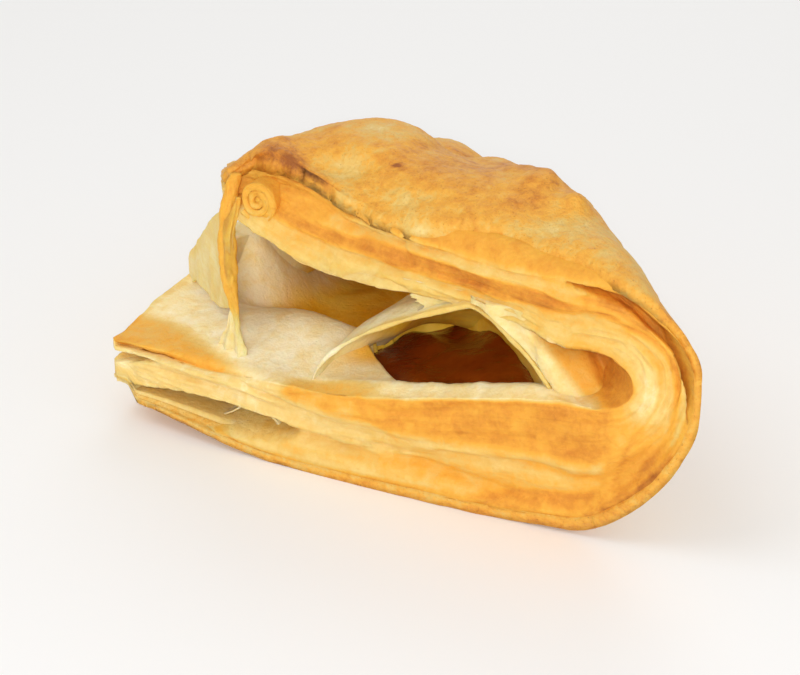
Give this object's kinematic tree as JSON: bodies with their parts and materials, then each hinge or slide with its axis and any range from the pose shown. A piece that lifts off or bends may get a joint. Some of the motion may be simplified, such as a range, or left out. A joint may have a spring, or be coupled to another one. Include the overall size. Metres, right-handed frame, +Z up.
{
  "type": "jam turnover",
  "caption": "Folded puff pastry turnover, burst open at the front corner, with a layered crust, a torn web of dough and dark jam in its hollow.",
  "frame": {"origin": "under the middle of the turnover, at the level it rests on", "axes": "+X along the front cut edge towards the fold, +Y along the rear cut edge away from the open corner, +Z up; the burst mouth faces -Y and -X"},
  "size_m": [0.1242, 0.112, 0.0588],
  "materials": {
    "baked_pastry": "baked, golden brown, dry",
    "jam": "wet, glossy, dark"
  },
  "bodies": {
    "root": {"pastry": "baked_pastry", "jam_filling": "jam"}
  },
  "joints": []
}
